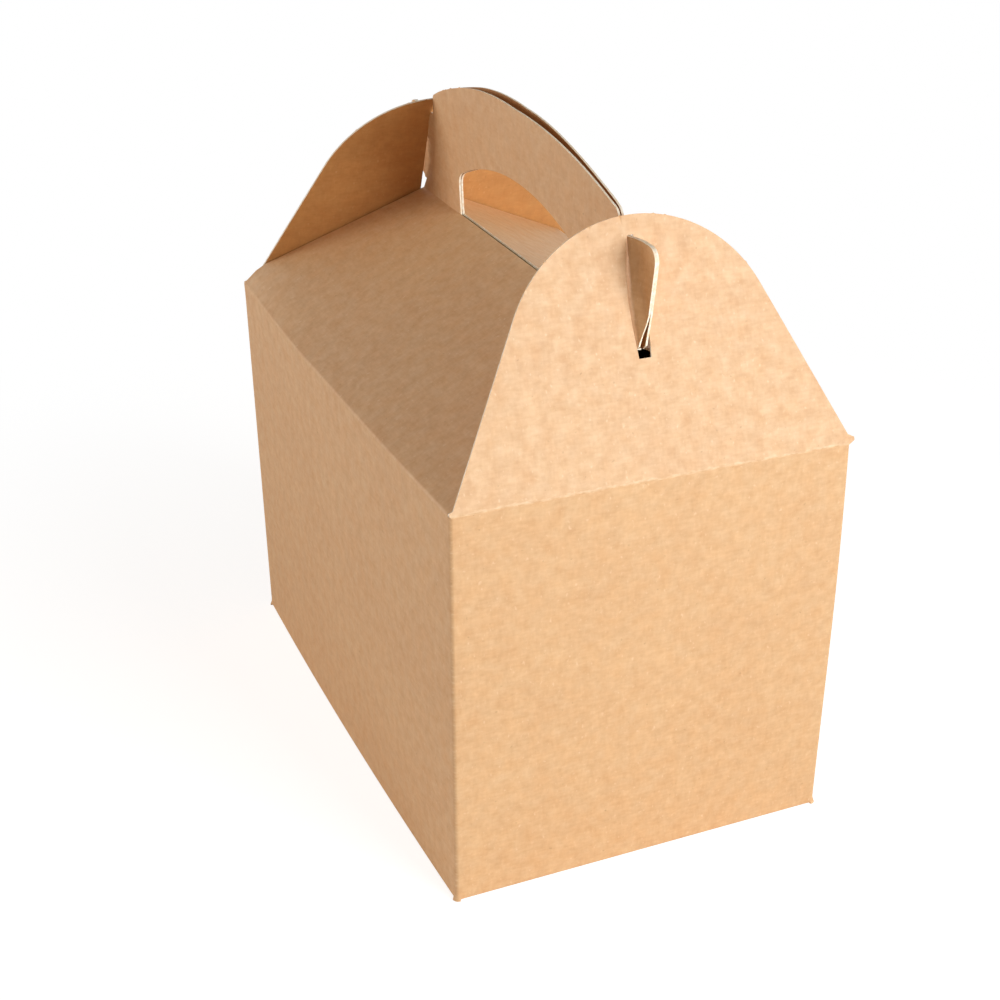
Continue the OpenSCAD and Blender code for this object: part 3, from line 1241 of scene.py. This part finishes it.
    def _swelling(self, y: np.ndarray, across: np.ndarray) -> np.ndarray:
        """Height by which a roof panel swells over the rear flap that it rests on.

        Args:
            y: Places along the box.
            across: Shares of the way from the wall's fold to the ridge, below 0 on the wall.

        Returns:
            Heights in mm.
        """
        along = ease((y - self.swell_start) / (self.form.length / 2 - self.swell_start))
        above = self.SWELL_AT_FOLD + (1.0 - self.SWELL_AT_FOLD) * ease(across / self.SWELL_ABOVE)
        below = self.SWELL_AT_FOLD * ease(across / self.SWELL_BELOW + 1.0)
        start = np.where(across > 0, above, below)
        return self.swell * along * start * np.clip(1.0 - across, 0.0, 1.0)

    def _sway(self, spot: np.ndarray, z: np.ndarray) -> np.ndarray:
        """How far the rear left and the front right edges stand out of the square plan.

        Args:
            spot: Places of the wall in plan.
            z: Heights.

        Returns:
            Offsets across the box in mm.
        """
        x, y = spot[:, 0] / (self.form.width / 2), spot[:, 1] / (self.form.length / 2)
        high = np.clip(z / self.form.wall_top, 0.0, 1.0)
        to_rear, to_front = (ease((share + 0.2) / 1.2) for share in (y, -y))
        rear_left = self.edge_sway[REAR] * np.clip(-x, 0, 1) * to_rear * high
        front_right = self.edge_sway[FRONT] * np.clip(x, 0, 1) * to_front * np.sin(np.pi * high**1.4)
        return front_right - rear_left

    def fold(self, flat: np.ndarray) -> np.ndarray:
        """Folds flat points of the blank into the box.

        Args:
            flat: Plan length and panel length of each point in mm.

        Returns:
            Places in mm.
        """
        p, s = flat[:, 0], flat[:, 1]
        left, right, end = self._panels(p)
        spot, heading = self.plan.locate(p)
        inward = np.stack([-heading[:, 1], heading[:, 0]], axis=1)
        side_dz, _ = self.side.locate(s)
        end_dz, _ = self.end.locate(s)
        depth = np.where(end, end_dz[:, 0], side_dz[:, 0])
        z = np.where(end, end_dz[:, 1], side_dz[:, 1])
        corner = np.zeros(len(p), bool)
        for k in self.plan.knots[1:-1]:
            corner |= np.abs(p - k) < self.fold_radius + 0.1
        depth = np.where(corner, 0.0, depth)
        z = np.where(corner, s + self.form.card / 2, z)
        lift = self.lap * ease((depth - 1.0) / self.FLAP_RUN) * (end & ~corner)
        past = depth - self.form.width / 2 - 0.2
        lift += self.lap * ease(past / self.TONGUE_RUN) * (right & (s < 0))
        xy = spot + inward * depth[:, None]

        y = spot[:, 1]
        sides = left | right
        away = np.where(left, -1.0, 1.0)
        fold_s, ridge_s = self.side.knots[2], self.side.knots[3]
        slant = ridge_s - fold_s
        across = np.where(s > fold_s, (s - fold_s) / slant, np.where(s < 0, -s / slant, 0))
        bow = self.side_bow * (1 - (y / (self.form.length / 2)) ** 2) * np.clip(1 - across, 0, 1)
        xy[:, 0] += np.where(sides, away * bow, 0.0)
        x_end = spot[:, 0] / (self.form.width / 2)
        high = np.clip(z / self.form.wall_top, 0, 1)
        end_bow = self.end_bow * np.clip(1 - x_end**2, 0, 1) * np.sin(np.pi * high)
        xy[:, 1] += np.where(end & ~corner, -inward[:, 1] * end_bow, 0.0)

        xy[:, 0] += self._sway(spot, z) * np.clip(1 - across, 0, 1)

        h = s - ridge_s
        end_of = np.where(y > 0, REAR, FRONT)
        heights = self.ridge_mid_z + h
        behind = np.array([self.form.behind_flap(e, at, self.gap) for e, at in zip(end_of, heights)])
        beyond = np.abs(y) - behind
        path_x = self.ridge_x + h * math.sin(math.radians(self.handle_splay))
        wanted = np.where(left, self.left_side.x(y, h, beyond), self.right_side.x(y, h, beyond))
        xy[:, 0] += np.where(sides & (h > 0), wanted - away * path_x, 0.0)

        rising = (s - fold_s) / slant
        swell = np.where(sides, self._swelling(y, rising), 0.0)
        xy[:, 0] += away * swell * ridge(rising, self.SWELL_BELOW, self.SWELL_OUTWARD)
        xy[:, 1] -= swell * math.tan(math.radians(self.form.lean[REAR]))

        tip = self.corner_tip * np.clip(1.0 - z / self.TIP_HEIGHT, 0.0, 1.0) * corner
        xy -= inward * tip[:, None]
        return np.column_stack([xy, z + lift + swell])

    def crease(self, flat: np.ndarray) -> np.ndarray:
        """Paler line along the creases: partly scuffed fibre, partly painted highlight of the folds.

        Args:
            flat: Points on the flat sheet.

        Returns:
            Paleness at each point, from 0 to 1.
        """
        p, s = flat[:, 0], flat[:, 1]
        left, right, _ = self._panels(p)
        crease_pale = ridge(s, *self.FOOT_PALE)
        for k in self.plan.knots[1:-1]:
            crease_pale = np.maximum(crease_pale, ridge(p - k, *self.EDGE_PALE) * (s > 0))
        for k in self.side.knots[2:4]:
            crease_pale = np.maximum(crease_pale, ridge(s - k, *self.ROOF_PALE) * (left | right))
        return crease_pale

    def build(self, stock: CardStock) -> bpy.types.Object:
        """Makes the folded sheet and rides it on the carton.

        Args:
            stock: The board it is cut from.

        Returns:
            The new piece.
        """
        piece = stock.sheet("folded_sheet", self._blank(), self.fold, self.crease)
        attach(piece, "carton")
        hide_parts("carton")
        return piece


@dataclass
class EndFlap:
    """One end flap with its slot, which swings about the fold above its end panel.

    Attributes:
        form: Shared sizes.
        end: The end of the box that it closes.
        body: Name of the body that it is.
        half_widths: Reach of its foot to its own left and right.
        tips: How far the corners of the foot stick out at the left and right, and how high they are.
        slot: Corners of the slot, across and up from the slot's foot.
        stub: Height of the card below the fold that moves with the flap.
        fold_radius: Radius of the fold.
        proud: How far the fold stands out of the end panel.
        crown: How far the flap bows outwards at its middle.
        cell: Distance between the points of the sheet.
    """

    form: BoxForm
    end: int
    body: str
    half_widths: Point
    tips: tuple[Point, Point]
    slot: Sequence[Point]
    stub: float = 0.3
    fold_radius: float = 0.35
    proud: float = 0.04
    crown: float = 0.25
    cell: float = 2.6

    # Width and strength of the paler line along the fold: scuffed fibre and painted highlight.
    FOLD_PALE = (0.7, 1.0)
    FOOT_INSET = 0.4
    REACH = 60.0

    def _outline(self) -> list[Point]:
        """Outer edge, counterclockwise from its lower right corner.

        Returns:
            Corners in the flap's plane, across and up.
        """
        f = self.form
        centre_v = f.flap_height - f.flap_round
        low = f.width / 2 - self.FOOT_INSET
        turns, feet = [], []
        for side, half, (reach, height) in zip((-1, 1), self.half_widths, self.tips):
            turn = math.acos(f.flap_round / math.hypot(half, centre_v)) - math.atan2(centre_v, half)
            turns.append(math.degrees(turn))
            edge = half - height * math.tan(turn)
            tip = [(side * (half + reach), height * 0.25), (side * (half + reach), height * 0.6)]
            feet.append([(side * low, -self.stub), *tip, (side * edge, height)])
        over = arc((0.0, centre_v), f.flap_round, turns[1], 180 - turns[0])
        return [*feet[1], *over, *feet[0][::-1]]

    def _slot(self) -> list[Point]:
        """Edge of the slot."""
        return [(u, self.form.slot_low + up) for u, up in self.slot]

    def fold(self, flat: np.ndarray) -> np.ndarray:
        """Places flat points on the leaning flap, with a short stub down the end panel.

        Args:
            flat: Points on the flat flap.

        Returns:
            Points in the shared frame in mm.
        """
        f = self.form
        lean = math.radians(f.lean[self.end])
        head = (-self.REACH * math.sin(lean), self.REACH * math.cos(lean))
        path = FoldPath([(0.0, -5.0), (0.0, 0.0), head], [self.fold_radius], origin=1)
        u, v = flat[:, 0], flat[:, 1]
        section, heading = path.locate(v)
        bow = self.crown * np.sin(np.pi * np.clip(v / f.flap_height, 0, 1)) * (1 - (u / self.REACH) ** 2)
        bow += self.proud * np.clip(1 - v, 0, 1)
        y = f.hinge_y + section[:, 0] + heading[:, 1] * bow
        z = f.hinge_z + section[:, 1] - heading[:, 0] * bow
        return np.column_stack([-self.end * u, self.end * y, z])

    def crease(self, flat: np.ndarray) -> np.ndarray:
        """Paler line along the fold at flat points, from 0 to 1: scuffed fibre and painted highlight."""
        return ridge(flat[:, 1], *self.FOLD_PALE)

    def build(self, stock: CardStock) -> bpy.types.Object:
        """Makes the flap and rides it on its own body.

        Args:
            stock: The board it is cut from.

        Returns:
            The new piece.
        """
        f = self.form
        rows = [-0.3, -0.1, 0.0, 0.1, 0.3, 0.7, 1.4, *np.arange(3.0, f.flap_height, self.cell)]
        columns = np.arange(-52.0, 52.1, self.cell)
        blank = Blank(self._outline(), [self._slot()], columns, rows, keep_off=0.12)
        piece = stock.sheet(f"{self.body}_card", blank, self.fold, self.crease)
        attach(piece, self.body)
        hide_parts(self.body)
        return piece


@dataclass(frozen=True)
class Lamp:
    """An area lamp that points at the box.

    Attributes:
        name: Name of the lamp.
        azimuth: Bearing in degrees, 0 in front of the box and 90 on its right.
        elevation: Height above the floor in degrees.
        distance: Distance from the middle of the box in metres.
        size: Side of the lamp in metres.
        power: Power in watts.
        tint: Linear red, green and blue of its light.
    """

    name: str
    azimuth: float
    elevation: float
    distance: float
    size: float
    power: float
    tint: tuple[float, float, float] = (1.0, 1.0, 1.0)

    def build(self, target: Vector) -> None:
        """Adds the lamp.

        Args:
            target: Point that it faces.
        """
        a, e = math.radians(self.azimuth), math.radians(self.elevation)
        toward = Vector((math.sin(a) * math.cos(e), -math.cos(a) * math.cos(e), math.sin(e)))
        data = bpy.data.lights.new(self.name, "AREA")
        data.size = self.size
        data.energy = self.power
        data.color = self.tint
        lamp = bpy.data.objects.new(self.name, data)
        lamp.location = target + toward * self.distance
        lamp.rotation_euler = toward.to_track_quat("Z", "Y").to_euler()
        bpy.context.scene.collection.objects.link(lamp)


@dataclass
class Studio:
    """Floor, lamps, world and camera.

    Attributes:
        lamps: The lamps.
        world: Strength of the even light from all round.
        world_tint: Linear red, green and blue of that light.
        shadow_depth: How much darker than white the floor is where no light reaches it.
        floor_light: Light on the open floor, as the brightness of a white matt surface there.
        view_angle: Camera bearing and height in degrees, 0 in front of the box.
        roll: Turn of the camera about its own axis in degrees.
        focal: Focal length in image widths.
        centre: Pixel of a 1000 pixel image that the camera's axis passes through.
        offset: Sideways and upward place of the camera in its own axes, in mm.
        distance: Distance of the camera from the base's middle along its axis, in mm.
        image: Width of the image in the pixels of the centre.
    """

    lamps: Sequence[Lamp] = (
        Lamp("key_softbox", 25.5, 17.0, 1.4, 0.85, 19.2, (0.94, 1.0, 1.06)),
        Lamp("left_softbox", -116.0, 5.0, 1.5, 0.8, 11.9, (1.0, 1.0, 1.03)),
    )
    world: float = 0.21
    world_tint: tuple[float, float, float] = (1.15, 1.0, 0.85)
    shadow_depth: float = 0.2
    floor_light: float = 0.42
    view_angle: Point = (-25.881, 28.569)
    roll: float = 1.4053
    focal: float = 1.709129
    centre: Point = (584.11, 574.34)
    offset: Point = (18.776, 34.412)
    distance: float = 490.075
    image: float = 1000.0

    AIM_HEIGHT = 0.08
    FLOOR_HALF = 6.0
    PAPER = 0.93
    SHADOW_SPAN = (0.1, 0.32)

    def build(self) -> None:
        """Adds the floor, the lamps, the world and the camera."""
        scene = bpy.context.scene
        scene.view_settings.view_transform = "Standard"
        self._floor()
        target = Vector((0.0, 0.0, self.AIM_HEIGHT))
        for lamp in self.lamps:
            lamp.build(target)
        self._world()
        self._camera()

    def _floor(self) -> None:
        """A wide pale floor that keeps the shadow of the box."""
        half = self.FLOOR_HALF
        mesh = bpy.data.meshes.new("floor")
        corners = [(-half, -half, 0), (half, -half, 0), (half, half, 0), (-half, half, 0)]
        mesh.from_pydata(corners, [], [(0, 1, 2, 3)])
        floor = bpy.data.objects.new("floor", mesh)
        bpy.context.scene.collection.objects.link(floor)
        material = new_material("pale_floor")
        tree = material.node_tree
        paper = {"Color": (self.PAPER, self.PAPER, self.PAPER, 1.0)}
        matt = add_node(tree, "ShaderNodeBsdfDiffuse", paper).outputs[0]
        place = add_node(tree, "ShaderNodeTexCoord").outputs["Object"]
        away = add_node(tree, "ShaderNodeVectorMath", {"operation": "LENGTH"}, {0: place}).outputs["Value"]
        depth = spread(tree, away, self.SHADOW_SPAN, (self.shadow_depth, 0.0), "SMOOTHSTEP")
        glow = add_node(tree, "ShaderNodeMath", {"operation": "SUBTRACT", 0: 1.0}, {1: depth}).outputs[0]
        grey = add_node(
            tree, "ShaderNodeMath", {"operation": "DIVIDE", 1: self.floor_light}, {0: depth}
        ).outputs[0]
        veil = add_node(tree, "ShaderNodeBsdfDiffuse", links={"Color": grey}).outputs[0]
        white = add_node(tree, "ShaderNodeEmission", {"Color": WHITE}, {"Strength": glow}).outputs[0]
        paper = add_node(tree, "ShaderNodeAddShader", links={0: veil, 1: white}).outputs[0]
        seen = add_node(tree, "ShaderNodeLightPath").outputs["Is Camera Ray"]
        shader = add_node(tree, "ShaderNodeMixShader", links={0: seen, 1: matt, 2: paper}).outputs[0]
        add_node(tree, "ShaderNodeOutputMaterial", links={"Surface": shader})
        mesh.materials.append(material)

    def _world(self) -> None:
        """Even soft light, with a white background for the camera and for reflections."""
        world = bpy.data.worlds.new("studio")
        bpy.context.scene.world = world
        world.use_nodes = True
        tree = world.node_tree
        tree.nodes.clear()
        rays = add_node(tree, "ShaderNodeLightPath").outputs
        seen = rays["Is Camera Ray"]
        for kind in ("Is Glossy Ray", "Is Transmission Ray"):
            links = {0: seen, 1: rays[kind]}
            seen = add_node(tree, "ShaderNodeMath", {"operation": "MAXIMUM"}, links).outputs[0]
        strength = spread(tree, seen, (0.0, 1.0), (self.world, 1.0))
        tint = mix(tree, seen, (*self.world_tint, 1.0), WHITE)
        links = {"Color": tint, "Strength": strength}
        light = add_node(tree, "ShaderNodeBackground", links=links).outputs[0]
        add_node(tree, "ShaderNodeOutputWorld", links={"Surface": light})

    def _camera(self) -> None:
        """The camera at the photograph's viewing angle."""
        a, e = (math.radians(v) for v in self.view_angle)
        roll = math.radians(self.roll)
        ahead = -Vector((math.sin(a) * math.cos(e), -math.cos(a) * math.cos(e), math.sin(e)))
        level = ahead.cross(Vector((0, 0, 1))).normalized()
        upward = level.cross(ahead)
        right = math.cos(roll) * level + math.sin(roll) * upward
        up = -math.sin(roll) * level + math.cos(roll) * upward
        place = right * self.offset[0] + up * self.offset[1] - ahead * self.distance
        data = bpy.data.cameras.new("camera")
        data.sensor_width = 36.0
        data.lens = self.focal * data.sensor_width
        data.shift_x = (self.image / 2 - self.centre[0]) / self.image
        data.shift_y = (self.centre[1] - self.image / 2) / self.image
        data.clip_start = 0.01
        camera = bpy.data.objects.new("camera", data)
        turn = Matrix((right, up, -ahead)).transposed().to_4x4()
        camera.matrix_world = Matrix.Translation(place * MM) @ turn
        bpy.context.scene.collection.objects.link(camera)
        bpy.context.scene.camera = camera


def main() -> None:
    """Builds the box piece by piece, then the studio."""
    logging.basicConfig(level=logging.INFO, format="%(message)s")
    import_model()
    low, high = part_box("carton")
    form = BoxForm(width=(high.x - low.x) / MM, length=(high.y - low.y) / MM)
    stock = CardStock()
    stock.prepare()
    pieces = [
        Carton(form).build(stock),
        EndFlap(
            form, FRONT, "front_end_flap", (49.55, 50.6), ((0.5, 1.1), (0.5, 2.2)),
            (
                (-2.05, 0.65), (1.0, 0.65), (1.05, 4.6), (-0.2, 27.3), (-1.7, 27.3),
                (-2.85, 20.0), (-3.15, 14.0), (-2.85, 8.0),
            ),
        ).build(stock),
        EndFlap(
            form, REAR, "rear_end_flap", (51.2, 49.6), ((0.2, 1.0), (0.5, 1.0)),
            ((-2.2, 0.0), (1.2, 0.0), (1.2, 27.4), (-2.2, 27.4)),
        ).build(stock),
    ]
    for piece in pieces:
        LOG.info("%s: %d triangles", piece.name, sum(len(f.vertices) - 2 for f in piece.data.polygons))
    Studio().build()


if __name__ == "__main__":
    main()
